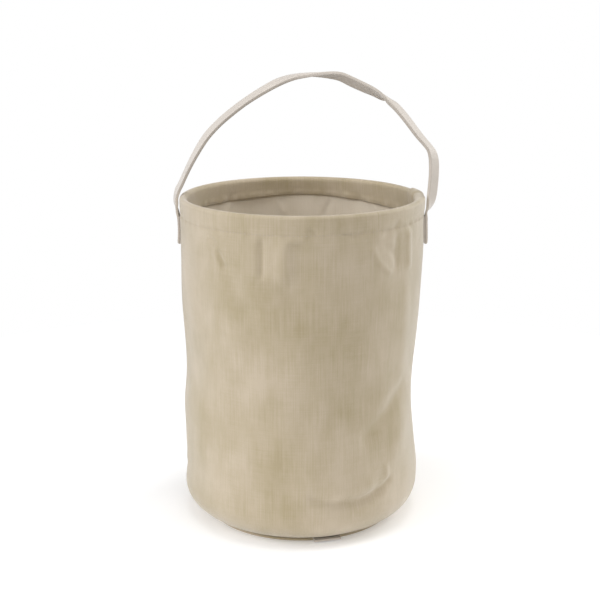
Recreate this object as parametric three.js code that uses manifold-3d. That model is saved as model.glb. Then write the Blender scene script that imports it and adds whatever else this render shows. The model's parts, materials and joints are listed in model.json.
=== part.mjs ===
// A round canvas storage bin with one carrying strap, in millimetres.
//
// +Z is up and the bin stands on z = 0 with its axis on the Z axis. The strap's ends are sewn on the outside
// of the wall at -X and +X, and the strap swings about the line through its two bends, just above the rim.
//
// The wall is one canvas panel, rolled up and lapped over its own inner end a little behind +X. Its top edge
// is turned inward over a wire hoop and sewn down as a hem. Its bottom edge is turned inward on to a round
// base panel. A board under a canvas cover keeps the floor flat, and a folded tab is sewn into the base seam.

import * as THREE from "three";
import { mergeVertices } from "three/addons/utils/BufferGeometryUtils.js";
import Module from "manifold-3d";

// ---- Driving dimensions ----

const RIM_RADIUS = 130; // outside of the wall at the rim
const RIM_HEIGHT = 355.5; // top of the rim above the floor
const CANVAS = 1.6; // thickness of the wall's canvas
const GAP = 0.3; // between two pieces that lie against each other

const HOOP_WIRE_RADIUS = 1.8;
const HOOP_CLEARANCE = 0.5; // between the wire and the canvas turned over it
const HEM_DEPTH = 23; // from the top of the rim to the hem's lower edge
const HEM_SEAM_DEPTH = 19.5; // from the top of the rim to the hem's row of stitches
const HEM_FLARE = 13; // height over which the hem narrows from the hoop to the wall

const WAIST_DEPTH = 3.5; // how far the soft wall sinks in half way up
const WAIST_TOP_SHARE = 0.76; // of the rim's height, above which the wall is straight
const CORNER_RADIUS = 34; // of the wall's mid-line where it turns under
const TURN_IN = 9; // flat width of the wall's bottom edge, under the bin

const PANEL_START = 7.5; // degrees from +X towards +Y where the wall panel's inner end is
const LAP_ANGLE = 7; // degrees by which the panel's outer end covers its inner end
const LAP_RAMP = 4; // degrees over which the outer end climbs on to the inner end
const SEAM_ROWS = { inner: 1.5, outer: 5.5 }; // degrees from the inner end to each row of the side seam
const HEM_THREAD_REST = 1.5; // degrees that the hem's stitches stop short of the panel's outer end
const SEAM_THREAD_REST = 2.4; // height by which the side seam's stitches stop below the hem's

const BASE_PANEL = 3; // thickness of the base panel
const BASE_PANEL_PROUD = 9; // how far the base panel reaches out under the wall's corner
const BOARD = 2; // thickness of the board
const BOARD_SET_BACK = 4; // from the edge of the base panel to the edge of the board
const COVER = 1.6; // thickness of the canvas cover on the board
const COVER_OVERHANG = 3; // how far the cover reaches past the board

const TAB_WIDTH = 29;
const TAB_LAYER = 0.8;
const TAB_PROUD = 5; // how far the tab's fold stands out past the base panel
const TAB_HIDDEN = 22; // how far the tab reaches in over the base panel
const TAB_TURN = -75; // degrees from +X to the middle of the tab

const STRAP_WIDTH = 14;
const STRAP_THICKNESS = 2.6;
const STRAP_RISE = 117; // from the swing axis to the top of the strap's arch
const STRAP_PEAK_SHIFT = 16; // how far the top of the arch stands to the +X side
// Where the arch's two curves head, as shares of the half span and of the rise.
const ARCH_HEADING = {
  leftFoot: { reach: 0.78, rise: 0.72 },
  leftPeak: 0.23,
  rightPeak: 0.66,
  rightFoot: { reach: 1.22, rise: 0.26 },
};
const STRAP_SEWN = 35; // how far the sewn ends hang below the hem's row of stitches
const STRAP_FOLD = 28; // height of strap turned under at each sewn end
const SWING_CLEARANCE = 1; // between the rim and the strap laid down on it

const THREAD = 0.8; // thickness of a row of stitches
const BOX_INSET = 2.5; // from the strap's edges to its box of stitches
const BOX_HEIGHT = 20;

const TURN_STEPS = 60; // flats in a full turn
const CORNER_STEPS = 7; // flats in the wall's bottom corner
const WAIST_STEPS = 6; // in the soft part of the wall
const HEM_STEPS = 6; // in the half turn over the hoop
const WIRE_SIDES = 8;
const FOLD_STEPS = 4; // in the half turn of a folded strip
const ARCH_STEPS = 24; // in each half of the strap's arch
const SWING_END_STEPS = 16; // in the half-round underside of the swinging strap

// ---- Sizes worked out from those ----

const LAP_STEP = CANVAS + GAP; // between the mid-lines of two layers that lie against each other
const WALL_RADIUS = RIM_RADIUS - CANVAS / 2; // of the wall's mid-line
const HEM_RADIUS = HOOP_WIRE_RADIUS + HOOP_CLEARANCE + CANVAS / 2; // where the mid-line turns over the hoop
const HOOP = { r: WALL_RADIUS - HEM_RADIUS, z: RIM_HEIGHT - HEM_RADIUS - CANVAS / 2 };
const HEM_SEAM_HEIGHT = RIM_HEIGHT - HEM_SEAM_DEPTH;
const WAIST_TOP = RIM_HEIGHT * WAIST_TOP_SHARE;
const WALL_FOOT = BASE_PANEL + GAP + CANVAS / 2; // height of the turned-in edge's mid-line
const CORNER = { r: WALL_RADIUS - CORNER_RADIUS, z: WALL_FOOT + CORNER_RADIUS };
const BASE_RADIUS = CORNER.r + BASE_PANEL_PROUD;
const BASE_SEAM_RADIUS = CORNER.r - TURN_IN / 2;
const BASE_SEAM_FOOT = WALL_FOOT + CANVAS / 2 + GAP;
const BOARD_FOOT = BASE_SEAM_FOOT + THREAD + GAP;
const COVER_FOOT = BOARD_FOOT + BOARD + GAP;
const TAB_THICKNESS = 2 * TAB_LAYER + GAP;

const STRAP_X = RIM_RADIUS + GAP + STRAP_THICKNESS + GAP + STRAP_THICKNESS / 2; // mid-line of the outer layer
const SWING_HEIGHT = RIM_HEIGHT + STRAP_WIDTH / 2 + SWING_CLEARANCE;
const SEWN_TOP = SWING_HEIGHT - STRAP_WIDTH / 2 - 2 * GAP;
const SEWN_FOOT = HEM_SEAM_HEIGHT - STRAP_SEWN;

const CANVAS_CLOTH = new THREE.MeshStandardMaterial({ color: 0xc6b8a3, roughness: 0.92, metalness: 0 });
const STRAP_CLOTH = new THREE.MeshStandardMaterial({ color: 0xd2cac1, roughness: 0.85, metalness: 0 });
const STEEL_WIRE = new THREE.MeshStandardMaterial({ color: 0x8d8f92, roughness: 0.4, metalness: 0.9 });
const STIFF_BOARD = new THREE.MeshStandardMaterial({ color: 0xb99b72, roughness: 0.8, metalness: 0 });
const SEWING_THREAD = new THREE.MeshStandardMaterial({ color: 0xd9cfbf, roughness: 0.7, metalness: 0 });

const wasm = await Module();
wasm.setup();

const { degToRad, lerp, smoothstep } = THREE.MathUtils;

// ---- Solids ----

function solidOf(geometry) {
  const plain = geometry.clone();
  plain.deleteAttribute("normal");
  plain.deleteAttribute("uv");
  const merged = mergeVertices(plain, 1e-4);
  const vertProperties = new Float32Array(merged.attributes.position.array);
  const triVerts = new Uint32Array(merged.index.array);
  return new wasm.Manifold(new wasm.Mesh({ numProp: 3, vertProperties, triVerts }));
}

function geometryOf(solid) {
  const { vertProperties, triVerts } = solid.getMesh();
  const geometry = new THREE.BufferGeometry();
  geometry.setAttribute("position", new THREE.BufferAttribute(vertProperties, 3));
  geometry.setIndex(new THREE.BufferAttribute(triVerts, 1));
  return geometry;
}

// A flat disc on the Z axis.
function disc(radius, foot, thickness) {
  const geometry = new THREE.CylinderGeometry(radius, radius, thickness, TURN_STEPS);
  geometry.rotateX(Math.PI / 2);
  return geometry.translate(0, 0, foot + thickness / 2);
}

// A strip of cloth that follows a line in the XZ plane, with its width along Y.
function strip(line, thickness, width) {
  const outline = new THREE.Shape(bothSides(line, -thickness / 2, thickness / 2));
  const geometry = new THREE.ExtrudeGeometry(outline, { depth: width, bevelEnabled: false });
  geometry.rotateX(Math.PI / 2);
  return geometry.translate(0, width / 2, 0);
}

// A closed solid swept round the Z axis. outlineAt(turn) gives its outline in radius and height at a turn in
// degrees from the wall panel's inner end, always with the same number of points, anticlockwise.
function sweepRound(outlineAt, from, to) {
  const turns = turnsBetween(from, to);
  const outlines = turns.map(outlineAt);
  const count = outlines[0].length;
  const positions = [];
  turns.forEach((turn, i) => {
    const angle = degToRad(PANEL_START + turn);
    outlines[i].forEach((p) => positions.push(p.x * Math.cos(angle), p.x * Math.sin(angle), p.y));
  });
  const index = [];
  for (let i = 0; i < turns.length - 1; i++) {
    for (let j = 0; j < count; j++) {
      const a = i * count + j;
      const b = i * count + ((j + 1) % count);
      index.push(a, a + count, b, b, a + count, b + count);
    }
  }
  const last = (turns.length - 1) * count;
  for (const [a, b, c] of THREE.ShapeUtils.triangulateShape(outlines[0], [])) {
    index.push(a, b, c);
    index.push(last + a, last + c, last + b);
  }
  const geometry = new THREE.BufferGeometry();
  geometry.setAttribute("position", new THREE.Float32BufferAttribute(positions, 3));
  geometry.setIndex(index);
  return geometry;
}

// Even turns, with more of them where the panel climbs on to its inner end.
function turnsBetween(from, to) {
  const steps = Math.ceil(((to - from) / 360) * TURN_STEPS);
  const even = Array.from({ length: steps + 1 }, (_, i) => lerp(from, to, i / steps));
  const climb = [360 - LAP_RAMP, 360 - LAP_RAMP / 2, 360];
  const clearOfClimb = even.filter((turn) => climb.every((t) => Math.abs(t - turn) > 1));
  return [...clearOfClimb, ...climb].sort((a, b) => a - b);
}

// ---- Outlines ----

// The closed outline round a line of points: its two sides, pushed off it along its left-hand normals.
function bothSides(line, right, left) {
  const side = (distance) =>
    line.map((point, i) => {
      const into = point.clone().sub(line[Math.max(i - 1, 0)]).normalize();
      const out = line[Math.min(i + 1, line.length - 1)].clone().sub(point).normalize();
      const along = into.clone().add(out).normalize();
      const reach = distance / along.dot(into.lengthSq() ? into : out);
      return new THREE.Vector2(point.x - along.y * reach, point.y + along.x * reach);
    });
  return [...side(right), ...side(left).reverse()];
}

function arc(x, y, radius, from, to, steps) {
  return Array.from({ length: steps + 1 }, (_, i) => {
    const angle = degToRad(lerp(from, to, i / steps));
    return new THREE.Vector2(x + radius * Math.cos(angle), y + radius * Math.sin(angle));
  });
}

// The wall's mid-line from its bottom corner to the height where it is straight.
function softWall(steps) {
  return Array.from({ length: steps + 1 }, (_, i) => {
    const share = i / steps;
    const sunk = WAIST_DEPTH * Math.sin(Math.PI * share) ** 2;
    return new THREE.Vector2(WALL_RADIUS - sunk, lerp(CORNER.z, WAIST_TOP, share));
  });
}

// How far the panel stands out at a turn, so that its last part lies over its first.
function lapOffset(turn) {
  return LAP_STEP * smoothstep(turn, 360 - LAP_RAMP, 360);
}

// ---- The wall, its hoop and its seams ----

function wallPanel() {
  const hemFoot = WALL_RADIUS - LAP_STEP;
  const line = [
    new THREE.Vector2(CORNER.r - TURN_IN, WALL_FOOT),
    ...arc(CORNER.r, CORNER.z, CORNER_RADIUS, -90, 0, CORNER_STEPS),
    ...softWall(WAIST_STEPS).slice(1),
    ...arc(HOOP.r, HOOP.z, HEM_RADIUS, 0, 180, HEM_STEPS),
    new THREE.Vector2(hemFoot, HOOP.z - HEM_FLARE),
    new THREE.Vector2(hemFoot, RIM_HEIGHT - HEM_DEPTH),
  ];
  const outlineAt = (turn) => {
    const right = lapOffset(turn) + CANVAS / 2;
    return bothSides(line, -right, CANVAS - right);
  };
  const panel = solidOf(sweepRound(outlineAt, 0, 360 + LAP_ANGLE));
  const underBase = solidOf(disc(BASE_RADIUS + GAP, 0, BASE_PANEL + GAP));
  return geometryOf(panel.subtract(underBase));
}

function rimHoop() {
  return new THREE.TorusGeometry(HOOP.r, HOOP_WIRE_RADIUS, WIRE_SIDES, TURN_STEPS).translate(0, 0, HOOP.z);
}

function hemThread() {
  const outlineAt = (turn) => {
    const x = RIM_RADIUS + lapOffset(turn) + GAP;
    return arc(x + THREAD / 2, HEM_SEAM_HEIGHT, THREAD * Math.SQRT1_2, 45, 315, 3);
  };
  return sweepRound(outlineAt, LAP_ANGLE + HEM_THREAD_REST, 360 + LAP_ANGLE - HEM_THREAD_REST);
}

// One row of stitches up the outside of the lap, from the bottom corner to the hem.
function sideSeamThread(turn) {
  const top = new THREE.Vector2(WALL_RADIUS, HEM_SEAM_HEIGHT - SEAM_THREAD_REST);
  const surface = LAP_STEP + CANVAS / 2 + GAP;
  const outline = new THREE.Shape(bothSides([...softWall(WAIST_STEPS), top], -surface - THREAD, -surface));
  const geometry = new THREE.ExtrudeGeometry(outline, { depth: THREAD, bevelEnabled: false });
  geometry.rotateX(Math.PI / 2);
  geometry.translate(0, THREAD / 2, 0);
  return geometry.rotateZ(degToRad(PANEL_START + turn));
}

// ---- The base ----

function basePanel() {
  const room = new THREE.BoxGeometry(
    TAB_HIDDEN + TAB_PROUD + 2 * GAP,
    TAB_WIDTH + 2 * GAP,
    2 * (TAB_THICKNESS + GAP),
  );
  room.translate(BASE_RADIUS + (TAB_PROUD - TAB_HIDDEN) / 2, 0, BASE_PANEL);
  room.rotateZ(degToRad(TAB_TURN));
  return geometryOf(solidOf(disc(BASE_RADIUS, 0, BASE_PANEL)).subtract(solidOf(room)));
}

function baseBoard() {
  return disc(BASE_RADIUS - BOARD_SET_BACK, BOARD_FOOT, BOARD);
}

function boardCover() {
  return disc(BASE_RADIUS - BOARD_SET_BACK + COVER_OVERHANG, COVER_FOOT, COVER);
}

function baseThread() {
  const radius = BASE_SEAM_RADIUS;
  const profile = arc(radius, BASE_SEAM_FOOT + THREAD / 2, THREAD * Math.SQRT1_2, -45, 315, 4);
  return new THREE.LatheGeometry(profile, TURN_STEPS).rotateX(Math.PI / 2);
}

// A strip folded double, with its fold outward, lying in the base panel's recess.
function baseTab() {
  const fold = (TAB_LAYER + GAP) / 2;
  const foldX = BASE_RADIUS + TAB_PROUD - fold - TAB_LAYER / 2;
  const z = BASE_PANEL - TAB_THICKNESS / 2;
  const line = [
    new THREE.Vector2(BASE_RADIUS - TAB_HIDDEN, z - fold),
    ...arc(foldX, z, fold, -90, 90, FOLD_STEPS),
    new THREE.Vector2(BASE_RADIUS - TAB_HIDDEN, z + fold),
  ];
  return strip(line, TAB_LAYER, TAB_WIDTH).rotateZ(degToRad(TAB_TURN));
}

// ---- The strap ----

// The swinging part: an arch whose ends are rounded about the swing axis.
function handleStrap() {
  const foot = SWING_HEIGHT - STRAP_WIDTH / 2;
  const peak = new THREE.Vector2(STRAP_PEAK_SHIFT, SWING_HEIGHT + STRAP_RISE);
  const { leftFoot, leftPeak, rightPeak, rightFoot } = ARCH_HEADING;
  const left = new THREE.CubicBezierCurve(
    new THREE.Vector2(-STRAP_X, foot),
    new THREE.Vector2(-STRAP_X * leftFoot.reach, foot + STRAP_RISE * leftFoot.rise),
    new THREE.Vector2(-STRAP_X * leftPeak, peak.y),
    peak,
  );
  const right = new THREE.CubicBezierCurve(
    peak,
    new THREE.Vector2(STRAP_X * rightPeak, peak.y),
    new THREE.Vector2(STRAP_X * rightFoot.reach, foot + STRAP_RISE * rightFoot.rise),
    new THREE.Vector2(STRAP_X, foot),
  );
  const line = [...left.getPoints(ARCH_STEPS), ...right.getPoints(ARCH_STEPS).slice(1)];
  const arch = solidOf(strip(line, STRAP_THICKNESS, STRAP_WIDTH));
  return geometryOf(arch.intersect(solidOf(roundedEnds(peak.y))));
}

// Everything between the swing axis and the top of the arch, with a half-round underside.
function roundedEnds(top) {
  const room = new THREE.Shape();
  const half = STRAP_WIDTH / 2;
  room.absarc(0, SWING_HEIGHT, half, Math.PI, 2 * Math.PI, false);
  room.lineTo(half, top + STRAP_WIDTH);
  room.lineTo(-half, top + STRAP_WIDTH);
  const length = 4 * STRAP_X;
  const settings = { depth: length, bevelEnabled: false, curveSegments: SWING_END_STEPS };
  const geometry = new THREE.ExtrudeGeometry(room, settings);
  geometry.rotateX(Math.PI / 2);
  geometry.rotateZ(Math.PI / 2);
  return geometry.translate(-length / 2, 0, 0);
}

// A sewn end on one side of the bin: it hangs down the wall and its raw end is turned under.
function strapEnd(side) {
  const fold = (STRAP_THICKNESS + GAP) / 2;
  const turn = arc(STRAP_X - fold, SEWN_FOOT + fold + STRAP_THICKNESS / 2, fold, 0, -180, FOLD_STEPS);
  const line = [
    new THREE.Vector2(STRAP_X, SEWN_TOP),
    ...turn,
    new THREE.Vector2(STRAP_X - 2 * fold, SEWN_FOOT + STRAP_FOLD),
  ];
  return strip(line, STRAP_THICKNESS, STRAP_WIDTH).rotateZ(side > 0 ? 0 : Math.PI);
}

// The box of stitches on the face of a sewn end.
function strapThread(side) {
  const width = STRAP_WIDTH - 2 * BOX_INSET;
  const box = rectangle(width, BOX_HEIGHT);
  box.holes.push(rectangle(width - 2 * THREAD, BOX_HEIGHT - 2 * THREAD));
  const geometry = new THREE.ExtrudeGeometry(box, { depth: THREAD, bevelEnabled: false });
  geometry.rotateX(Math.PI / 2);
  geometry.rotateZ(Math.PI / 2);
  geometry.translate(STRAP_X + STRAP_THICKNESS / 2 + GAP, 0, SEWN_FOOT + BOX_INSET + BOX_HEIGHT / 2);
  return geometry.rotateZ(side > 0 ? 0 : Math.PI);
}

function rectangle(width, height) {
  const corner = (x, y) => new THREE.Vector2((x * width) / 2, (y * height) / 2);
  return new THREE.Shape([corner(-1, -1), corner(1, -1), corner(1, 1), corner(-1, 1)]);
}

// ---- The assembly ----

function meshOf(name, geometry, material) {
  geometry.computeVertexNormals();
  const mesh = new THREE.Mesh(geometry, material);
  mesh.name = name;
  return mesh;
}

const bin = new THREE.Group();
bin.name = "fabric_storage_bin";
bin.add(
  meshOf("wall_panel", wallPanel(), CANVAS_CLOTH),
  meshOf("rim_hoop", rimHoop(), STEEL_WIRE),
  meshOf("hem_thread", hemThread(), SEWING_THREAD),
  meshOf("side_seam_thread_inner", sideSeamThread(SEAM_ROWS.inner), SEWING_THREAD),
  meshOf("side_seam_thread_outer", sideSeamThread(SEAM_ROWS.outer), SEWING_THREAD),
  meshOf("base_panel", basePanel(), CANVAS_CLOTH),
  meshOf("base_thread", baseThread(), SEWING_THREAD),
  meshOf("base_board", baseBoard(), STIFF_BOARD),
  meshOf("board_cover", boardCover(), CANVAS_CLOTH),
  meshOf("base_tab", baseTab(), STRAP_CLOTH),
  meshOf("handle_strap", handleStrap(), STRAP_CLOTH),
  meshOf("strap_end_left", strapEnd(-1), STRAP_CLOTH),
  meshOf("strap_end_right", strapEnd(1), STRAP_CLOTH),
  meshOf("strap_thread_left", strapThread(-1), SEWING_THREAD),
  meshOf("strap_thread_right", strapThread(1), SEWING_THREAD),
);

export default bin;
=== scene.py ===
"""A round canvas storage bin with one carrying strap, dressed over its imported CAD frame. Metres, +Z up."""

import json
import math

import bpy
import numpy as np
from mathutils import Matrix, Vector


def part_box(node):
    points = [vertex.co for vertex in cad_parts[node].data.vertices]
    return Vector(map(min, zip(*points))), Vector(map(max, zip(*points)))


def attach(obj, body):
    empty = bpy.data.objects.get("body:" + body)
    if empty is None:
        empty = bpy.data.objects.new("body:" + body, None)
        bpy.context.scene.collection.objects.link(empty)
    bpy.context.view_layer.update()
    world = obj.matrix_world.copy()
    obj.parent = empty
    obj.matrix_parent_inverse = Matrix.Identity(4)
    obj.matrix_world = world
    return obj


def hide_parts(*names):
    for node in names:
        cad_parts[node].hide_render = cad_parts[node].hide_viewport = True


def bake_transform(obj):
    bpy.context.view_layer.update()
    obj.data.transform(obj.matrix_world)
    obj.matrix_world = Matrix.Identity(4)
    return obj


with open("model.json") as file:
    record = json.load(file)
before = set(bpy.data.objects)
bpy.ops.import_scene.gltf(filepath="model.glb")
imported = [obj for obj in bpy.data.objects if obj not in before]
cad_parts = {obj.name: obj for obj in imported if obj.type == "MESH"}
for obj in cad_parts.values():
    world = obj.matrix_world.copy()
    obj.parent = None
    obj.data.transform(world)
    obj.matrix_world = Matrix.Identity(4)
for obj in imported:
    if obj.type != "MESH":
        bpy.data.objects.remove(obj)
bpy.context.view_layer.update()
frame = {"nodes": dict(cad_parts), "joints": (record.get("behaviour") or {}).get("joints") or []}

# ---- Sizes taken from the frame ----

MM = 0.001
BIN, HANDLE = "bin", "handle"
HOOP_LOW, HOOP_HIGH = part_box("rim_hoop")
BASE_LOW, BASE_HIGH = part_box("base_panel")
COVER_LOW, COVER_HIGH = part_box("board_cover")
HEM_LOW, HEM_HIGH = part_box("hem_thread")
SEAM_LOW, SEAM_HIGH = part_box("side_seam_thread_outer")
TAB_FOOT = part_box("base_tab")[0][2]
END_LOW, END_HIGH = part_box("strap_end_right")
STRAP_BOX_LOW, STRAP_BOX_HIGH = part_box("strap_thread_right")

WIRE = (HOOP_HIGH[2] - HOOP_LOW[2]) / 2
HOOP_Z = (HOOP_HIGH[2] + HOOP_LOW[2]) / 2
HOOP_R = HOOP_HIGH[1] - WIRE
HEM_SEAM_Z = (HEM_LOW[2] + HEM_HIGH[2]) / 2
SWING_Z = frame["joints"][0]["pos_m"][2]

# ---- Sizes of the cloth ----

CANVAS = 1.6 * MM
GAP = 0.3 * MM
HEM_TURN = WIRE + 0.5 * MM + CANVAS / 2
WALL_R = HOOP_R + HEM_TURN
RIM_TOP = HOOP_Z + HEM_TURN + CANVAS / 2
HEM_EDGE_Z = RIM_TOP - 23 * MM
HEM_FLARE = 20 * MM
CORNER = 34 * MM
CORNER_R = WALL_R - CORNER
FOOT_Z = BASE_HIGH[2] + GAP + CANVAS / 2
CORNER_Z = FOOT_Z + CORNER
TURN_IN = 9 * MM
BASE_R = BASE_HIGH[1]
BASE_SEAM_R = CORNER_R - TURN_IN / 2

WAIST = 3.5 * MM  # how far the soft wall sinks in half way up
WAIST_TOP_SHARE = 0.76  # of the rim's height, above which the wall is straight
RIM_DIP = 2.6 * MM  # how far the rim sinks at the front
SEAM_BULK = 2.6 * MM  # how far the lapped hem stands out beside the side seam
STITCH_PULL = 0.5 * MM  # how far the hem's stitches draw the canvas in
CENTRE_HOLE = 4 * MM  # radius of the small flat face that closes a round sheet at its middle

WALL_ROWS, WALL_TURNS = 158, 420  # how finely the canvas is divided
DISC_STEPS = 180
PANEL_START = 7.5  # degrees from +X where the wall panel's inner end is
LAP_ANGLE = 7.0
LAP_RAMP = 4.0
LAP_STEP = CANVAS + GAP
SEAM_ROWS = (1.5, 5.5)  # degrees past the inner end

THREAD_LIFT = 0.15 * MM  # how far a stitch's middle stands off the cloth
STITCH = 3.0 * MM

STRAP_W = END_HIGH[1] - END_LOW[1]
STRAP_T = 3.4 * MM
UNDER_T, OVER_T = 1.4 * MM, 2.4 * MM  # the two layers of a sewn end
STRAP_FOLD = 28 * MM
BLEND_REACH = 26 * MM
# How far the strap's edges turn down where it twists over: the place along X, the reach and the depth.
STRAP_CUPS = [(8 * MM, 22 * MM, 1.6 * MM), (90 * MM, 9 * MM, 2.4 * MM)]

# Soft hollows and swells of the canvas: where they are (degrees from +X, height), how far they reach across
# and along, how far they lean from upright in degrees, and how deep they are. All lengths are millimetres.
FOLDS = [
    # the waist's own drift to each side
    (-3, 132, 90, 58, 0, -4.6),
    (-3, 50, 50, 14, 0, 1.0),
    (-3, 300, 80, 50, 0, 2.0),
    (180, 196, 90, 36, 0, -1.2),
    (180, 62, 60, 18, 0, -2.2),
    (180, 125, 80, 26, 0, 2.4),
    (180, 20, 60, 12, 0, 1.5),
    # the wall is drawn in under the sewn end on the left
    (181, 320, 12, 20, 0, -2.0),
    # a broad ridge down the right front, and the hollow that the lower diagonal fold drops into
    (-34, 232, 11, 80, 0, 1.6),
    (-62, 150, 24, 34, -38, -2.0),
    (-34, 112, 22, 40, -38, 4.0),
    (-75, 250, 34, 40, 10, -1.2),
    # the sides and the back
    (40, 250, 12, 60, 8, 1.2),
    (62, 150, 22, 40, 30, -2.0),
    (95, 270, 14, 46, -6, 1.3),
    (118, 110, 26, 30, -25, -2.2),
    (150, 240, 12, 60, 5, 1.2),
]

# Creases of the canvas: start and end (degrees from +X, height), half width and depth in millimetres.
# A positive depth is a ridge and a negative one a valley. The places of most of the front ones were
# worked out by a separate program from points read by eye.
CREASES = [
    (-107.4, 331, -107.4, 292, 4.2, -2.6),
    (-97.4, 331, -97.8, 290, 9.0, 3.4),
    (-95.5, 325.6, -88.5, 326.4, 2.6, -1.3),
    (-95.5, 331.0, -88.5, 331.5, 3.2, 0.6),
    (-86.5, 343.0, -82.5, 336.0, 2.4, -1.2),
    (-130.2, 314.0, -126.3, 298.0, 3.0, -1.4),
    (-132.6, 315.0, -128.6, 299.0, 2.6, 0.8),
    (-135.6, 327.0, -131.0, 322.0, 2.4, -1.1),
    (-129.0, 308.0, -113.0, 250.0, 9.0, -1.6),
    (-73.0, 341.0, -67.0, 331.5, 4.5, -1.2),
    (-67.0, 331.5, -61.0, 337.5, 4.5, -1.2),
    (-57.2, 320.0, -53.5, 303.0, 3.6, 1.2),
    (-53.5, 303.0, -46.0, 290.0, 3.6, 1.2),
    (-40.5, 341.0, -51.2, 328.0, 4.5, -1.1),
    (-51.0, 320.5, -43.4, 311.0, 4.5, -0.8),
    (-45.6, 312.5, -41.0, 300.0, 4.5, -0.8),
    (-42.0, 331.0, -42.0, 292.0, 5.0, -1.2),
    (-33.0, 331.0, -33.0, 292.0, 5.0, 1.8),
    (-30.0, 163.0, -60.0, 112.0, 10.0, -2.6),
    (-86.0, 60.0, -76.0, 51.0, 6.5, -3.0),
    (-76.0, 51.0, -62.0, 48.0, 7.0, -5.0),
    (-62.0, 48.0, -49.0, 56.5, 6.5, -5.0),
    (-49.0, 56.5, -43.0, 65.0, 4.5, -2.4),
    (-76.0, 64.0, -54.0, 66.0, 9.0, 1.8),
    (-46.2, 82.0, -45.2, 66.0, 3.4, 1.4),
    (168.0, 60.0, 196.0, 66.0, 6.0, 0.8),
    (28.0, 334.0, 33.0, 306.0, 3.6, -1.4),
    (52.0, 336.0, 46.0, 318.0, 3.2, -1.2),
    (74.0, 328.0, 80.0, 300.0, 4.0, 1.2),
    (104.0, 332.0, 99.0, 312.0, 3.2, -1.2),
    (128.0, 336.0, 134.0, 308.0, 3.6, -1.4),
    (60.0, 58.0, 84.0, 50.0, 6.0, -2.0),
    (106.0, 62.0, 128.0, 52.0, 6.0, -1.8),
]

# The strap's mid-line in the XZ plane: x and height in millimetres, and how many degrees its outer face is
# turned towards the front. Most of the places were traced by a separate program, not chosen by hand.
STRAP_ARCH = [
    (-133.3, 337.0, 3),
    (-134.2, 344.5, 13),
    (-134.2, 351.0, 14),
    (-131.9, 359.0, 18),
    (-128.2, 366.0, 16),
    (-119.8, 383.3, 17),
    (-110.5, 400.2, 21),
    (-100.0, 416.0, 23),
    (-86.8, 430.0, 22),
    (-72.2, 442.3, 22),
    (-57.0, 453.4, 21),
    (-41.0, 463.4, 23),
    (-24.0, 472.6, 23),
    (-8.0, 478.6, 13),
    (5.0, 480.8, 3),
    (18.0, 481.2, -10),
    (31.0, 480.3, -24),
    (42.0, 478.2, -33),
    (54.0, 472.7, -38),
    (67.0, 466.8, -36),
    (78.0, 462.0, -28),
    (86.5, 458.3, -16),
    (93.0, 454.3, 8),
    (99.5, 448.4, 22),
    (111.9, 433.8, 25),
    (123.6, 418.8, 24),
    (131.0, 410.3, 21),
    (136.6, 403.6, 24),
    (140.0, 397.0, 36),
    (141.6, 389.0, 43),
    (142.0, 377.0, 44),
    (141.4, 365.0, 44),
    (140.6, 355.0, 43),
    (139.5, 347.0, 36),
    (137.6, 340.5, 20),
    (135.2, 335.4, 8),
]

TAB_TURN = -75  # degrees from +X
TAB_W = 29 * MM
TAB_LAYER = 0.8 * MM
TAB_REACH = 27 * MM
TAB_TIP = BASE_R + 7 * MM

FLOOR_R = 0.85
CAMERA_PLACE = (-1.0 * MM, -1.235, 0.5488)
CAMERA_PITCH = 14.16  # degrees below level
CAMERA_LENS = 69.65
CAMERA_SENSOR = 36
AROUND_LIGHT = 0.41
FLOOR_GLOW = 0.14


# ---- Small tools ----


def smoothstep(value, low, high):
    t = np.clip((value - low) / (high - low), 0, 1)
    return t * t * (3 - 2 * t)


def mesh_object(name, points, faces, material, body=BIN, uv=None, sharp=50):
    """A new piece; uv gives one pair of cloth coordinates, in metres, for each point."""
    mesh = bpy.data.meshes.new(name)
    mesh.from_pydata([tuple(p) for p in points], [], faces)
    if uv is not None:
        layer = mesh.uv_layers.new(name="cloth")
        corners = np.zeros(len(mesh.loops), np.int32)
        mesh.loops.foreach_get("vertex_index", corners)
        layer.data.foreach_set("uv", np.asarray(uv, np.float32)[corners].ravel())
    mesh.materials.append(material)
    mesh.shade_smooth()
    mesh.set_sharp_from_angle(angle=math.radians(sharp))
    piece = bpy.data.objects.new(name, mesh)
    bpy.context.scene.collection.objects.link(piece)
    if body:
        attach(piece, body)
    return piece


def grid_faces(rows, columns, close_rows=False, close_columns=False):
    """Quads of a grid whose point (i, j) has number i * columns + j."""
    faces = []
    for i in range(rows if close_rows else rows - 1):
        for j in range(columns if close_columns else columns - 1):
            i2, j2 = (i + 1) % rows, (j + 1) % columns
            faces.append((i * columns + j, i2 * columns + j, i2 * columns + j2, i * columns + j2))
    return faces


def apply_modifier(piece, kind, **settings):
    modifier = piece.modifiers.new(kind.title(), kind)
    for key, value in settings.items():
        setattr(modifier, key, value)
    depsgraph = bpy.context.evaluated_depsgraph_get()
    finished = bpy.data.meshes.new_from_object(piece.evaluated_get(depsgraph))
    piece.modifiers.clear()
    piece.data = finished


def lathe_points(profile, steps):
    """Points of a profile of (radius, height) turned round the Z axis."""
    angles = np.linspace(0, 2 * math.pi, steps, endpoint=False)
    return [(r * math.cos(a), r * math.sin(a), z) for a in angles for r, z in profile]


# ---- The soft wall's shape ----


def crease_offset(angle, z, start_angle, start_z, end_angle, end_z, width, depth):
    """A rounded ridge or valley along a straight line of the unrolled canvas, fading out at both ends."""
    u = WALL_R / MM * np.radians((angle - start_angle + 180) % 360 - 180)
    v = z / MM - start_z
    du = WALL_R / MM * math.radians(end_angle - start_angle)
    dv = end_z - start_z
    length = math.hypot(du, dv)
    along = (u * du + v * dv) / length
    across = (v * du - u * dv) / length
    ends = smoothstep(along, -width, width) * (1 - smoothstep(along, length - width, length + width))
    return depth * MM * ends * np.exp(-((across / width) ** 2))


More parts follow.
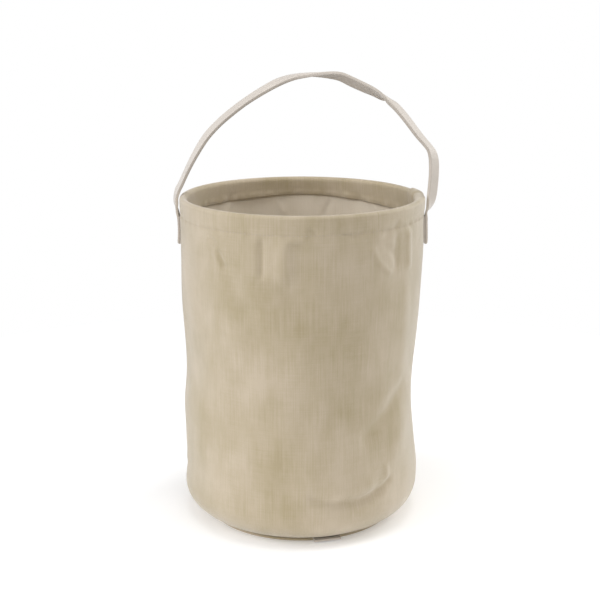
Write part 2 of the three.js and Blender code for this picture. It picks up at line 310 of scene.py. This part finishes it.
def soft_offset(angle, z):
    """How far the canvas stands out from the true round wall, at an angle in degrees and a height."""
    share = np.clip((z - CORNER_Z) / (WAIST_TOP_SHARE * RIM_TOP - CORNER_Z), 0, 1)
    offset = -WAIST * np.sin(math.pi * share) ** 2
    for fold_angle, height, across, along, lean, depth in FOLDS:
        u = WALL_R * np.radians((angle - fold_angle + 180) % 360 - 180)
        v = z - height * MM
        c, s = math.cos(math.radians(lean)), math.sin(math.radians(lean))
        reach = ((u * c + v * s) / (across * MM)) ** 2 + ((v * c - u * s) / (along * MM)) ** 2
        offset = offset + depth * MM * np.exp(-reach)
    for crease in CREASES:
        offset = offset + crease_offset(angle, z, *crease)
    turn = np.radians(angle)
    ripple = (
        0.35 * np.sin(5 * turn + 21 * z + 0.4)
        + 0.30 * np.sin(8 * turn - 34 * z + 1.9)
        + 0.20 * np.sin(13 * turn + 55 * z + 4.0)
        + 0.12 * np.sin(23 * turn - 40 * z + 2.2)
    )
    loose = smoothstep(z, 0.02, 0.06) * (1 - smoothstep(z, HEM_SEAM_Z - 0.05, HEM_SEAM_Z))
    offset = offset + ripple * MM * loose
    stitch_pull = 1 + 0.5 * np.sin(41 * turn) + 0.5 * np.sin(67 * turn + 1.3)
    pinch = np.exp(-(((z - HEM_SEAM_Z) / (2.6 * MM)) ** 2))
    offset = offset - STITCH_PULL * pinch * stitch_pull
    return offset * smoothstep(z, FOOT_Z, FOOT_Z + 0.012)


def wall_line():
    """The panel's mid-line: radius, height, the outward normal's two parts, the distance along the cloth, and
    how far down the hem's inner side each point is, from 0 at its top to 1 at its edge."""
    turn_in = [(r, FOOT_Z) for r in np.linspace(CORNER_R - TURN_IN, CORNER_R, 5)[:-1]]
    corner = [
        (CORNER_R + CORNER * math.cos(a), CORNER_Z + CORNER * math.sin(a))
        for a in np.linspace(-math.pi / 2, 0, 24)
    ]
    wall = [(WALL_R, z) for z in np.linspace(CORNER_Z, HOOP_Z, WALL_ROWS)[1:-1]]
    over = [
        (HOOP_R + HEM_TURN * math.cos(a), HOOP_Z + HEM_TURN * math.sin(a))
        for a in np.linspace(0, math.pi, 17)
    ]
    inner_r = over[-1][0]
    hem_r = WALL_R - LAP_STEP
    heights = np.linspace(HOOP_Z, HEM_EDGE_Z, 16)[1:]
    facing = [(inner_r + (hem_r - inner_r) * min(1, (HOOP_Z - z) / HEM_FLARE) ** 1.3, z) for z in heights]
    line = np.array(turn_in + corner + wall + over + facing)
    along = np.gradient(line, axis=0)
    along /= np.linalg.norm(along, axis=1)[:, None]
    length = np.concatenate([[0], np.cumsum(np.linalg.norm(np.diff(line, axis=0), axis=1))])
    down = np.zeros(len(line))
    down[-len(facing):] = (HOOP_Z - heights) / (HOOP_Z - HEM_EDGE_Z)
    return line[:, 0], line[:, 1], along[:, 1], -along[:, 0], length, down


def lap_offset(turn):
    return LAP_STEP * smoothstep(turn, 360 - LAP_RAMP, 360)


def lap_pucker(turn, z):
    """How far the lap's loose outer edge lifts off, in uneven puckers between the stitches."""
    loose = smoothstep(turn, 360 + SEAM_ROWS[1], 360 + LAP_ANGLE)
    waves = 0.9 + 0.7 * np.sin(95 * z) + 0.5 * np.sin(163 * z + 1.0)
    lifted = 2.2 * np.exp(-(((z - 0.104) / 0.022) ** 2))
    free = smoothstep(z, 0.03, 0.06) * (1 - smoothstep(z, HEM_SEAM_Z - 0.04, HEM_SEAM_Z))
    return loose * (waves + lifted) * MM * free


def rim_dip(angle, z):
    """How far the rim sinks at an angle: it is lowest at the front."""
    front = 0.5 - 0.5 * np.sin(np.radians(angle))
    return -RIM_DIP * front * smoothstep(z, 0.55 * RIM_TOP, RIM_TOP)


def bell(angle, middle, spread):
    """1 at an angle, falling off on both sides; all in degrees."""
    return np.exp(-((((angle - middle + 180) % 360 - 180) / spread) ** 2))


def seam_bulk(angle, z):
    """The lapped hem's many layers stand out beside the side seam, under the strap's end."""
    return SEAM_BULK * bell(angle, 1, 13) * smoothstep(z, HEM_EDGE_Z - 8 * MM, HOOP_Z)


def facing_shift(angle, down):
    """How far the hem's inner side stands off the wall, and how much deeper it is turned, at an angle."""
    loose = 0.4 * MM + 2.2 * MM * bell(angle, 114, 13) + 0.3 * MM * np.sin(np.radians(7 * angle + 40))
    left_pucker = bell(angle, 137, 2.5) - bell(angle, 131, 3)
    puckers = 1.4 * MM * (left_pucker + bell(angle, 64, 4) - bell(angle, 57, 3))
    deeper = 2 * MM + 4 * MM * (bell(angle, 28, 26) - bell(angle, 90, 32))
    return (loose + puckers) * down * down, deeper * down


def seam_layer(angle, facing):
    """The extra layer inside the hem beside the side seam, which ends sharply under the panel's inner end."""
    past = (angle + 180) % 360 - 180
    return 1.5 * MM * smoothstep(past, -15, -8) * (1 - smoothstep(past, 3.6, 4.6)) * facing


def wall_point(turn, r, z, nr, nz, down=0.0):
    """Where a point of the panel's mid-line is at a turn, in degrees from the panel's inner end."""
    angle = (PANEL_START + turn) % 360
    out = lap_offset(turn) + lap_pucker(turn, z)
    stand_off, deeper = facing_shift(angle, down)
    outside, inside = np.clip(nr, 0, 1), np.clip(-nr, 0, 1)
    radius = r + out * nr + soft_offset(angle, z) + seam_bulk(angle, z) * outside
    radius = radius - stand_off - seam_layer(angle, inside)
    a = np.radians(angle)
    height = z + out * nz + rim_dip(angle, z) - deeper
    return np.stack([radius * np.cos(a), radius * np.sin(a), height], axis=-1)


def wall_surface(turn, z, lift):
    """A point on the outside of the wall, and the outward normal there."""
    turn, z = np.asarray(turn, float), np.asarray(z, float)
    angle = np.radians(PANEL_START + turn)
    normal = np.stack([np.cos(angle), np.sin(angle), np.zeros_like(angle)], axis=-1)
    return wall_point(turn, WALL_R, z, 1.0, 0.0) + normal * (CANVAS / 2 + lift), normal


# ---- Materials ----


class Nodes:
    """A short way to write a material's node tree."""

    def __init__(self, name):
        self.material = bpy.data.materials.new(name)
        self.material.use_nodes = True
        self.tree = self.material.node_tree
        self.shader = self.tree.nodes["Principled BSDF"]

    def add(self, kind, inputs=None, **settings):
        node = self.tree.nodes.new(kind)
        for key, value in settings.items():
            setattr(node, key, value)
        for key, value in (inputs or {}).items():
            if isinstance(value, bpy.types.NodeSocket):
                self.tree.links.new(value, node.inputs[key])
            else:
                node.inputs[key].default_value = value
        return node

    def math(self, operation, a, b=0.0):
        return self.add("ShaderNodeMath", {0: a, 1: b}, operation=operation).outputs[0]

    def mix(self, share, a, b, blend="MIX"):
        node = self.add("ShaderNodeMix", data_type="RGBA", blend_type=blend)
        for socket, value in (("Factor", share), ("A", a), ("B", b)):
            target = next(i for i in node.inputs if i.name == socket and i.enabled)
            if isinstance(value, bpy.types.NodeSocket):
                self.tree.links.new(value, target)
            else:
                target.default_value = value
        return next(o for o in node.outputs if o.enabled)

    def noise(self, where, scale, detail=3.0, roughness=0.55):
        inputs = {"Vector": where, "Scale": scale, "Detail": detail, "Roughness": roughness}
        return self.add("ShaderNodeTexNoise", inputs).outputs["Fac"]

    def ramp(self, value, low, high):
        inputs = {"Value": value, "From Min": low, "From Max": high}
        return self.add("ShaderNodeMapRange", inputs).outputs["Result"]

    def stretch(self, where, scale):
        return self.add("ShaderNodeMapping", {"Vector": where, "Scale": scale}).outputs["Vector"]

    def connect(self, value, socket):
        self.tree.links.new(value, self.shader.inputs[socket])


def cloth_material(name, light, dark, pitch, grain, depth, twill=0.0):
    """Woven cloth: threads at a pitch in metres, crossed over and under, with slubs, mottling and a soft
    nap. The gaps between the threads are painted darker, as painted shade."""
    n = Nodes(name)
    cloth = n.add("ShaderNodeUVMap", uv_map="cloth").outputs["UV"]
    place = n.add("ShaderNodeTexCoord").outputs["Object"]
    parts = n.add("ShaderNodeSeparateXYZ", {"Vector": cloth})
    wobble = n.math("MULTIPLY", n.noise(n.stretch(cloth, (60, 60, 1)), 1.0), 0.9)
    u = n.math("ADD", n.math("MULTIPLY", parts.outputs["X"], math.pi / pitch), wobble)
    v = n.math("ADD", n.math("MULTIPLY", parts.outputs["Y"], math.pi / pitch), wobble)
    lean = n.math("ADD", u, n.math("MULTIPLY", v, twill))
    warp = n.math("ABSOLUTE", n.math("SINE", lean))
    weft = n.math("ABSOLUTE", n.math("SINE", v))
    over = n.math("GREATER_THAN", n.math("MULTIPLY", n.math("SINE", lean), n.math("SINE", v)), 0.0)
    threads = n.add("ShaderNodeMix", {0: over, 2: warp, 3: weft}, data_type="FLOAT").outputs[0]
    slub_up = n.noise(n.stretch(cloth, (grain, grain / 45, 1)), 1.0, 4.0)
    slub_across = n.noise(n.stretch(cloth, (grain / 30, grain, 1)), 1.0, 4.0)
    slubs = n.math("ADD", n.math("MULTIPLY", slub_up, 0.7), n.math("MULTIPLY", slub_across, 0.3))
    mottle = n.math("ADD", n.math("MULTIPLY", n.noise(place, 11.0, 4.0), 0.6),
                    n.math("MULTIPLY", n.noise(n.stretch(place, (46, 46, 26)), 1.0, 3.0), 0.4))
    tone = n.math("ADD", n.math("MULTIPLY", slubs, 0.35), n.math("MULTIPLY", mottle, 0.65))
    colour = n.mix(n.ramp(tone, 0.40, 0.60), (*dark, 1), (*light, 1))
    # Painted shade: the colour is darkened in the gaps between the threads, where shade would fall
    shade = n.ramp(threads, -1.2, 1.0)
    grey = n.add("ShaderNodeCombineColor", {0: shade, 1: shade, 2: shade}).outputs[0]
    colour = n.mix(0.35, colour, grey, "MULTIPLY")
    n.connect(colour, "Base Color")
    n.connect(n.ramp(tone, -0.6, 1.6), "Roughness")
    height = n.math("ADD", n.math("MULTIPLY", threads, 0.6), n.math("MULTIPLY", slubs, 0.8))
    bump = n.add("ShaderNodeBump", {"Height": height, "Strength": 0.55, "Distance": depth})
    n.connect(bump.outputs["Normal"], "Normal")
    n.shader.inputs["Roughness"].default_value = 0.9
    n.shader.inputs["Sheen Weight"].default_value = 0.5
    n.shader.inputs["Sheen Roughness"].default_value = 0.45
    n.shader.inputs["Specular IOR Level"].default_value = 0.25
    return n.material


def plain_material(name, colour, scale, depth, roughness=0.8, metallic=0.0):
    """Thread, wire or board: a colour that drifts a little, with fine bumps."""
    n = Nodes(name)
    place = n.add("ShaderNodeTexCoord").outputs["Object"]
    drift = n.noise(place, scale)
    dark = [c * 0.8 for c in colour]
    n.connect(n.mix(n.ramp(drift, 0.3, 0.7), (*dark, 1), (*colour, 1)), "Base Color")
    bump = n.add("ShaderNodeBump", {"Height": n.noise(place, scale * 3), "Strength": 0.5, "Distance": depth})
    n.connect(bump.outputs["Normal"], "Normal")
    n.shader.inputs["Roughness"].default_value = roughness
    n.shader.inputs["Metallic"].default_value = metallic
    return n.material


GRAIN = 900  # how fine the slubs are
CANVAS_WEAVE = (0.9 * MM, GRAIN, 0.35 * MM)
STRAP_WEAVE = (1.0 * MM, GRAIN, 0.12 * MM, 0.5)
CANVAS_CLOTH = cloth_material("canvas", (0.58, 0.485, 0.355), (0.44, 0.36, 0.22), *CANVAS_WEAVE)
# Painted light: a much paler copy of the canvas for the wall's inner face, standing in for light reaching
# into the bin
CANVAS_INSIDE_PAINTED_LIGHT = cloth_material("canvas_back", (0.82, 0.73, 0.60), (0.72, 0.63, 0.49), *CANVAS_WEAVE)
STRAP_CLOTH = cloth_material("strap_webbing", (0.64, 0.58, 0.51), (0.59, 0.53, 0.465), *STRAP_WEAVE)
THREAD = plain_material("sewing_thread", (0.54, 0.46, 0.35), 2500, 0.1 * MM)
STEEL_WIRE = plain_material("hoop_wire", (0.50, 0.51, 0.52), 900, 0.02 * MM, 0.35, 1.0)
FIBRE_BOARD = plain_material("fibre_board", (0.42, 0.31, 0.20), 350, 0.1 * MM, 0.85)


# ---- The wall ----


def make_wall():
    r, z, nr, nz, along, down = wall_line()
    turns = np.linspace(0, 360 + LAP_ANGLE, WALL_TURNS)
    grid = np.stack([wall_point(t, r, z, nr, nz, down) for t in turns])
    across = np.radians(turns) * WALL_R
    uv = np.stack(np.broadcast_arrays(across[:, None], along[None, :]), axis=-1).reshape(-1, 2)
    faces = grid_faces(len(turns), len(r))
    wall = mesh_object("wall_canvas", grid.reshape(-1, 3), faces, CANVAS_CLOTH, uv=uv)
    # The wall's inner face gets the paler copy of the canvas, painted light inside the bin
    wall.data.materials.append(CANVAS_INSIDE_PAINTED_LIGHT)
    apply_modifier(wall, "SOLIDIFY", thickness=CANVAS, offset=0.0, use_even_offset=True, material_offset=1)
    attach(wall, BIN)
    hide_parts("wall_panel")


def make_hoop():
    """The wire inside the hem, which sinks and swells with the rim."""
    steps, sides = 240, 12
    points = []
    for turn in np.linspace(0, 2 * math.pi, steps, endpoint=False):
        angle = math.degrees(turn)
        radius = HOOP_R + soft_offset(angle, HOOP_Z)
        height = HOOP_Z + rim_dip(angle, HOOP_Z)
        for a in np.linspace(0, 2 * math.pi, sides, endpoint=False):
            r = radius + WIRE * math.cos(a)
            points.append((r * math.cos(turn), r * math.sin(turn), height + WIRE * math.sin(a)))
    faces = grid_faces(steps, sides, close_rows=True, close_columns=True)
    hoop = mesh_object("hoop_wire", points, faces, STEEL_WIRE)
    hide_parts("rim_hoop")


# ---- Stitches ----


def stitch_row(name, centres, directions, normals, length, node, thickness=0.75 * MM):
    """Short bent strands, each dipping into the cloth at both ends."""
    rings, sides = 7, 6
    points, faces = [], []
    for centre, direction, normal in zip(centres, directions, normals):
        d = direction / np.linalg.norm(direction)
        n = normal / np.linalg.norm(normal)
        side = np.cross(d, n)
        first = len(points)
        for i in range(rings):
            t = i / (rings - 1) * 2 - 1
            fat = thickness / 2 * (0.55 + 0.45 * math.sqrt(max(0.0, 1 - t * t)))
            middle = centre + d * (t * length / 2) - n * (thickness * 0.9 * t * t)
            for j in range(sides):
                a = 2 * math.pi * j / sides
                points.append(middle + side * (fat * math.cos(a)) + n * (fat * math.sin(a)))
        for i in range(rings - 1):
            for j in range(sides):
                a, b = first + i * sides, first + (i + 1) * sides
                j2 = (j + 1) % sides
                faces.append((a + j, a + j2, b + j2, b + j))
        faces.append(tuple(first + j for j in reversed(range(sides))))
        faces.append(tuple(first + (rings - 1) * sides + j for j in range(sides)))
    piece = mesh_object(name, points, faces, THREAD, sharp=80)
    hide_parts(node)


def make_hem_stitches():
    pitch = 4.1 * MM
    first, last = LAP_ANGLE + 1.5, 360 + LAP_ANGLE - 1.5
    count = int(math.radians(last - first) * WALL_R / pitch)
    turns = np.linspace(first, last, count)
    centres, normals = wall_surface(turns, np.full(count, HEM_SEAM_Z), THREAD_LIFT)
    angle = np.radians(PANEL_START + turns)
    along = np.stack([-np.sin(angle), np.cos(angle), 0.02 * np.ones(count)], axis=-1)
    stitch_row("hem_stitches", centres, along, normals, STITCH, "hem_thread")


def make_seam_stitches(turn, node):
    pitch = 4.0 * MM
    heights = np.arange(SEAM_LOW[2], SEAM_HIGH[2], pitch)
    centres, normals = wall_surface(np.full(len(heights), 360 + turn), heights, THREAD_LIFT)
    up = np.gradient(centres, axis=0)
    stitch_row(node.replace("thread", "stitches"), centres, up, normals, STITCH, node)


# ---- The base ----


def disc_faces(count):
    """Faces of a round sheet whose turned profile has count points, closed at its middle below and above."""
    faces = grid_faces(DISC_STEPS, count, close_rows=True)
    faces.append(tuple(i * count for i in reversed(range(DISC_STEPS))))
    faces.append(tuple(i * count + count - 1 for i in range(DISC_STEPS)))
    return faces


def make_base_panel():
    edge, groove, groove_reach = 1.2 * MM, 0.9 * MM, 2 * MM
    low, high = BASE_LOW[2], BASE_HIGH[2]
    profile = [(r, low) for r in np.linspace(CENTRE_HOLE, BASE_SEAM_R - groove_reach, 14)]
    profile += [
        (BASE_SEAM_R + u * groove_reach, low + groove * math.cos(u * math.pi / 2) ** 2)
        for u in np.linspace(-1, 1, 9)[1:-1]
    ]
    profile += [(r, low) for r in np.linspace(BASE_SEAM_R + groove_reach, BASE_R - edge, 5)]
    profile += [
        (BASE_R - edge + edge * math.cos(a), low + edge + edge * math.sin(a))
        for a in np.linspace(-math.pi / 2, 0, 5)[1:]
    ]
    profile += [(BASE_R, high - edge)]
    profile += [
        (BASE_R - edge + edge * math.cos(a), high - edge + edge * math.sin(a))
        for a in np.linspace(0, math.pi / 2, 5)[1:]
    ]
    profile += [(r, high) for r in np.linspace(BASE_R - 3 * MM, CENTRE_HOLE, 10)]
    points = lathe_points(profile, DISC_STEPS)
    faces = disc_faces(len(profile))
    uv = [(x, y) for x, y, _ in points]
    panel = mesh_object("base_panel_canvas", points, faces, CANVAS_CLOTH, uv=uv)
    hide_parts("base_panel")


def make_base_stitches():
    count = int(2 * math.pi * BASE_SEAM_R / (4.2 * MM))
    angle = np.linspace(0, 2 * math.pi, count, endpoint=False)
    height = np.full(count, 0.55 * MM)
    centres = np.stack([BASE_SEAM_R * np.cos(angle), BASE_SEAM_R * np.sin(angle), height], axis=-1)
    along = np.stack([-np.sin(angle), np.cos(angle), np.zeros(count)], axis=-1)
    down = np.tile([0.0, 0.0, -1.0], (count, 1))
    stitch_row("base_stitches", centres, along, down, 3.1 * MM, "base_thread", 0.7 * MM)


def make_board_cover():
    radius = COVER_HIGH[1]
    low, high = COVER_LOW[2], COVER_HIGH[2]
    edge = (high - low) / 2
    reach = np.linspace(CENTRE_HOLE, radius - edge, 26)
    middle = (low + high) / 2
    profile = [(r, low) for r in reach]
    profile += [
        (radius - edge + edge * math.cos(a), middle + edge * math.sin(a))
        for a in np.linspace(-1.2, 1.2, 7)
    ]
    profile += [(r, high) for r in reach[::-1]]
    points = []
    for x, y, z in lathe_points(profile, DISC_STEPS):
        rise = 0.35 * MM * (1 + math.sin(38 * x + 1.1) * math.sin(44 * y + 0.3))
        points.append((x, y, z + rise))
    faces = disc_faces(len(profile))
    uv = [(x, y) for x, y, _ in points]
    cover = mesh_object("board_cover_canvas", points, faces, CANVAS_CLOTH, uv=uv)
    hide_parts("board_cover")


# ---- Strips of cloth: the strap and the tab ----


def spline(stations, steps):
    """A smooth line of evenly spaced points through stations, by Catmull-Rom pieces. Each station starts with
    its two places in the strip's own plane; what follows them changes smoothly too."""
    s = np.asarray(stations, float)
    s = np.vstack([2 * s[0] - s[1], s, 2 * s[-1] - s[-2]])
    pieces = []
    for p0, p1, p2, p3 in zip(s, s[1:], s[2:], s[3:]):
        t = np.linspace(0, 1, 24, endpoint=False)[:, None]
        square = 2 * p0 - 5 * p1 + 4 * p2 - p3
        cube = 3 * p1 - p0 - 3 * p2 + p3
        pieces.append(0.5 * (2 * p1 + (p2 - p0) * t + square * t**2 + cube * t**3))
    line = np.vstack(pieces + [s[-2][None, :]])
    reach = np.concatenate([[0], np.cumsum(np.linalg.norm(np.diff(line[:, :2], axis=0), axis=1))])
    even = np.linspace(0, reach[-1], steps)
    return np.stack([np.interp(even, reach, line[:, k]) for k in range(line.shape[1])], axis=-1), even


def strip_section(width, thickness, cup):
    """A flat section with eased corners, its edges turned down by cup: offsets across and through."""
    half, edge = width / 2, thickness / 2
    ease = 0.15 * thickness
    flat = np.linspace(-(half - ease), half - ease, 11)
    right = [
        (half - ease + ease * math.cos(a), side * (edge - ease) + ease * math.sin(a))
        for side, turns in ((-1, (-90, -45, 0)), (1, (0, 45, 90)))
        for a in np.radians(turns)
    ]
    right = right[1:-1]
    left = [(-w, -t) for w, t in right]
    section = [(w, -edge) for w in flat] + right + [(w, edge) for w in flat[::-1]] + left
    return [(w, t - cup * (w / half) ** 2) for w, t in section]


def strip_mesh(name, line, distance, faces_out, turn, width, thickness, cup, material, body):
    """A strip along a line of points, its outer face turned about the line by turn. Every list has one value
    for each point."""
    along = np.gradient(line, axis=0)
    points, uv = [], []
    for i, middle in enumerate(line):
        section = strip_section(width, thickness[i], cup[i])
        t = along[i] / np.linalg.norm(along[i])
        n = faces_out[i] - t * np.dot(faces_out[i], t)
        n /= np.linalg.norm(n)
        w = np.cross(t, n)
        c, s = math.cos(turn[i]), math.sin(turn[i])
        n, w = n * c + w * s, w * c - n * s
        for across, through in section:
            points.append(middle + w * across + n * through)
            uv.append((across + (0.5 if through > 0 else 0.0), distance[i]))
    count = len(section)
    faces = grid_faces(len(line), count, close_columns=True)
    faces.append(tuple(range(count)))
    faces.append(tuple((len(line) - 1) * count + j for j in reversed(range(count))))
    return mesh_object(name, points, faces, material, body=body, uv=uv, sharp=40)


def wall_outside(angle, z):
    """The radius of the wall's outer face, without the lap."""
    angle, z = np.array(float(angle)), np.array(float(z))
    return WALL_R + CANVAS / 2 + float(soft_offset(angle, z) + seam_bulk(angle, z))


def sewn_end(side):
    """Stations of one sewn end, from its raw end turned under to where it leaves the wall: x, z, turn and
    thickness."""
    angle = 0 if side > 0 else 180
    fold_r = (UNDER_T / 2 + GAP + OVER_T / 2) / 2
    foot = END_LOW[2] + OVER_T / 2 + fold_r
    top = foot + STRAP_FOLD

    def under(z):
        return wall_outside(angle, z) + GAP + UNDER_T / 2

    stations = [(under(z), z, UNDER_T) for z in np.linspace(top, foot, 8)]
    for share in np.linspace(0, 1, 7)[1:]:
        a = math.pi * (1 + share)
        thickness = UNDER_T + (OVER_T - UNDER_T) * share
        stations.append((under(foot) + fold_r * (1 + math.cos(a)), foot + fold_r * math.sin(a), thickness))
    stations += [(under(z) + 2 * fold_r, z, OVER_T) for z in np.linspace(foot + 4 * MM, top - 2 * MM, 6)]
    return [(side * x, z, 0.0, thickness) for x, z, thickness in stations]


def make_strap():
    arch = [(x * MM, z * MM, math.radians(turn), STRAP_T) for x, z, turn in STRAP_ARCH]
    arch[0] = (*arch[0][:3], OVER_T)
    arch[-1] = (*arch[-1][:3], OVER_T)
    line, distance = spline(sewn_end(-1) + arch + sewn_end(1)[::-1], 760)
    x, z, turn, thickness = line.T
    middle = np.stack([x, 0 * x, z], axis=-1)
    outwards = np.cross(np.gradient(middle, axis=0), [0, 1.0, 0])
    high = smoothstep(z, SWING_Z, SWING_Z + BLEND_REACH)
    cup = high * sum(depth * np.exp(-(((x - place) / reach) ** 2)) for place, reach, depth in STRAP_CUPS)
    strap = strip_mesh(
        "strap", middle, distance, outwards, turn, STRAP_W, thickness, cup, STRAP_CLOTH, None
    )
    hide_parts("handle_strap", "strap_end_left", "strap_end_right")
    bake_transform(strap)


def make_strap_stitches(side, node):
    """A box of stitches on the outer face of a sewn end."""
    low, high = STRAP_BOX_LOW[2], STRAP_BOX_HIGH[2]
    half = (STRAP_BOX_HIGH[1] - STRAP_BOX_LOW[1]) / 2
    angle = 0.0 if side > 0 else 180.0
    corners = [(-half, low), (half, low), (half, high), (-half, high), (-half, low)]
    centres, directions = [], []
    for (y1, z1), (y2, z2) in zip(corners, corners[1:]):
        length = math.hypot(y2 - y1, z2 - z1)
        count = max(2, round(length / (3 * MM)))
        for k in range(count):
            t = (k + 0.5) / count
            y, z = y1 + (y2 - y1) * t, z1 + (z2 - z1) * t
            x = wall_outside(angle, z) + 2 * GAP + UNDER_T + OVER_T + 0.1 * MM
            centres.append(np.array([side * x, y, z]))
            directions.append(np.array([0, y2 - y1, z2 - z1]))
    normals = [np.array([side, 0.0, 0.0])] * len(centres)
    stitch_row(node.replace("thread", "stitches"), centres, directions, normals, 2.4 * MM, node)


def make_tab():
    """A strip folded double, its fold outward, caught in the base seam."""
    turn = math.radians(TAB_TURN)
    out = np.array([math.cos(turn), math.sin(turn), 0])
    inner, outer = TAB_TIP - TAB_REACH, TAB_TIP - TAB_LAYER
    top, bottom = TAB_FOOT + 2.2 * MM, TAB_FOOT + 1.0 * MM
    fold = (top - bottom) / 2
    reach = np.linspace(inner, outer, 7)
    bend = np.linspace(0, math.pi, 7)[1:-1]
    stations = [(r, top) for r in reach]
    stations += [(outer + fold * math.sin(a), (top + bottom) / 2 + fold * math.cos(a)) for a in bend]
    stations += [(r, bottom) for r in reach[::-1]]
    line, distance = spline(stations, 90)
    middle = np.outer(line[:, 0], out) + np.outer(line[:, 1], [0, 0, 1.0])
    across = np.cross([0, 0, 1.0], out)
    faces_out = np.cross(np.gradient(middle, axis=0), across)
    steady = np.ones(len(line))
    tab = strip_mesh(
        "tab_webbing", middle, distance, faces_out, 0 * steady, TAB_W, TAB_LAYER * steady, 0 * steady,
        STRAP_CLOTH, BIN,
    )
    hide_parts("base_tab")


# ---- The board, which keeps its CAD shape ----


def finish_node(node, material):
    for slot in frame["nodes"][node].material_slots:
        slot.material = material


# ---- Light, floor and camera ----


def area_light(name, place, aim, size, power, colour=(1, 1, 1)):
    light = bpy.data.lights.new(name, "AREA")
    light.shape = "RECTANGLE"
    light.size, light.size_y = size
    light.energy = power
    light.color = colour
    piece = bpy.data.objects.new(name, light)
    piece.location = place
    piece.rotation_euler = (Vector(aim) - Vector(place)).to_track_quat("-Z", "Y").to_euler()
    bpy.context.scene.collection.objects.link(piece)


def make_studio():
    n = Nodes("floor")
    place = n.add("ShaderNodeTexCoord").outputs["Object"]
    n.connect(n.mix(n.noise(place, 3.0), (0.95, 0.95, 0.95, 1), (0.98, 0.98, 0.98, 1)), "Base Color")
    n.shader.inputs["Roughness"].default_value = 0.9
    n.shader.inputs["Emission Color"].default_value = (1, 1, 1, 1)
    n.shader.inputs["Emission Strength"].default_value = FLOOR_GLOW
    ring = [(x, y, 0) for x, y, _ in lathe_points([(FLOOR_R, 0)], 96)]
    mesh = bpy.data.meshes.new("floor")
    mesh.from_pydata(ring, [], [tuple(range(len(ring)))])
    mesh.materials.append(n.material)
    floor = bpy.data.objects.new("floor", mesh)
    bpy.context.scene.collection.objects.link(floor)
    world = bpy.data.worlds.new("studio")
    world.use_nodes = True
    nodes, links = world.node_tree.nodes, world.node_tree.links
    around, seen = nodes["Background"], nodes.new("ShaderNodeBackground")
    around.inputs["Color"].default_value = (1.0, 1.0, 1.0, 1)
    around.inputs["Strength"].default_value = AROUND_LIGHT
    seen.inputs["Color"].default_value = (1.0, 1.0, 1.0, 1)
    ray, either = nodes.new("ShaderNodeLightPath"), nodes.new("ShaderNodeMixShader")
    links.new(ray.outputs["Is Camera Ray"], either.inputs["Fac"])
    links.new(around.outputs[0], either.inputs[1])
    links.new(seen.outputs[0], either.inputs[2])
    links.new(either.outputs[0], nodes["World Output"].inputs["Surface"])
    bpy.context.scene.world = world
    bpy.context.scene.view_settings.view_transform = "Standard"
    area_light("left_wall", (-2.0, -0.7, 1.1), (0, 0, 0.2), (1.8, 1.6), 35, (0.98, 1.0, 1.06))
    area_light("right_wall", (1.9, 0.9, 0.95), (0, 0, 0.2), (1.4, 1.6), 29)
    area_light("front_wall", (0.4, -1.9, 1.5), (0, 0, 0.3), (1.4, 1.0), 9)
    area_light("overhead", (0.1, -0.25, 1.6), (0, 0.02, 0.3), (0.7, 0.7), 6)


def make_camera():
    camera = bpy.data.cameras.new("camera")
    camera.lens = CAMERA_LENS
    camera.sensor_width = CAMERA_SENSOR
    piece = bpy.data.objects.new("camera", camera)
    piece.location = CAMERA_PLACE
    piece.rotation_euler = (math.radians(90 - CAMERA_PITCH), 0, 0)
    bpy.context.scene.collection.objects.link(piece)
    bpy.context.scene.camera = piece


make_camera()
make_studio()
make_base_panel()
make_wall()
make_hoop()
make_hem_stitches()
make_seam_stitches(SEAM_ROWS[0], "side_seam_thread_inner")
make_seam_stitches(SEAM_ROWS[1], "side_seam_thread_outer")
make_base_stitches()
make_board_cover()
make_tab()
make_strap()
make_strap_stitches(-1, "strap_thread_left")
make_strap_stitches(1, "strap_thread_right")
finish_node("base_board", FIBRE_BOARD)
